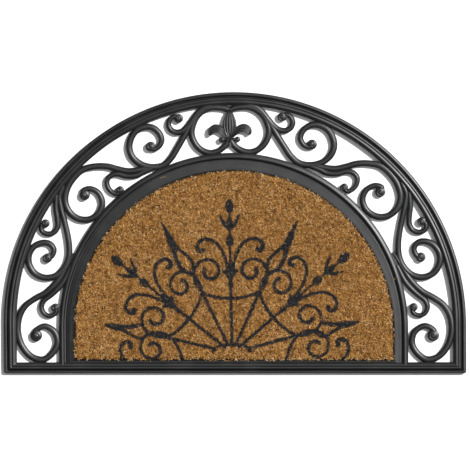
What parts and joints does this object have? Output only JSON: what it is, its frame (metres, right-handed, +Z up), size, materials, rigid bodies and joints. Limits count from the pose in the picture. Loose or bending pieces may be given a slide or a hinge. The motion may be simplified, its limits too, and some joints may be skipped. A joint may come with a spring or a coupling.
{
  "type": "half round doormat",
  "caption": "Half round doormat: a brown coir mat lying in a moulded black rubber frame with open scrollwork and a fleur-de-lis at the top of the arch.",
  "frame": {"origin": "on the floor, midway across the mat and midway between the straight edge and the top of the arch", "axes": "+X across the mat to the right, +Y from the straight edge to the top of the arch, +Z up"},
  "size_m": [0.75, 0.455, 0.013],
  "materials": {
    "moulded_rubber": "matt black moulded rubber with a dull sheen on its beads",
    "coir": "golden brown coconut fibre pile with a black printed scroll fan"
  },
  "bodies": {
    "root": {"rubber_frame": "moulded_rubber", "coir_insert": "coir"}
  },
  "joints": []
}
